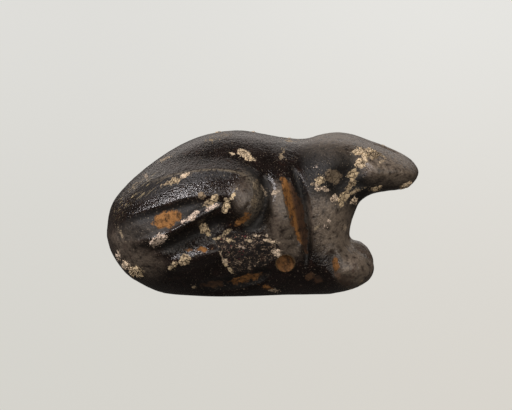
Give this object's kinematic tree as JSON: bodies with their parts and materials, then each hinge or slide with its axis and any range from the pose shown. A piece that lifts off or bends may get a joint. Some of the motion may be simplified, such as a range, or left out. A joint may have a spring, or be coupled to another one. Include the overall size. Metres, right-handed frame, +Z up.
{
  "type": "frog amulet",
  "caption": "Crouching frog carved from one lump of dark stone, with a string hole drilled across it above its flat underside.",
  "frame": {"origin": "middle of the flat underside's level, below the middle of the overall box", "axes": "+X towards the snout, +Z up, and the two flanks alike on both sides of Y = 0"},
  "size_m": [0.021, 0.0122, 0.0109],
  "materials": {
    "dark_stone": "worn semi-gloss carved stone with pale crust and brown earth"
  },
  "bodies": {
    "root": {"frog_amulet": "dark_stone"}
  },
  "joints": []
}
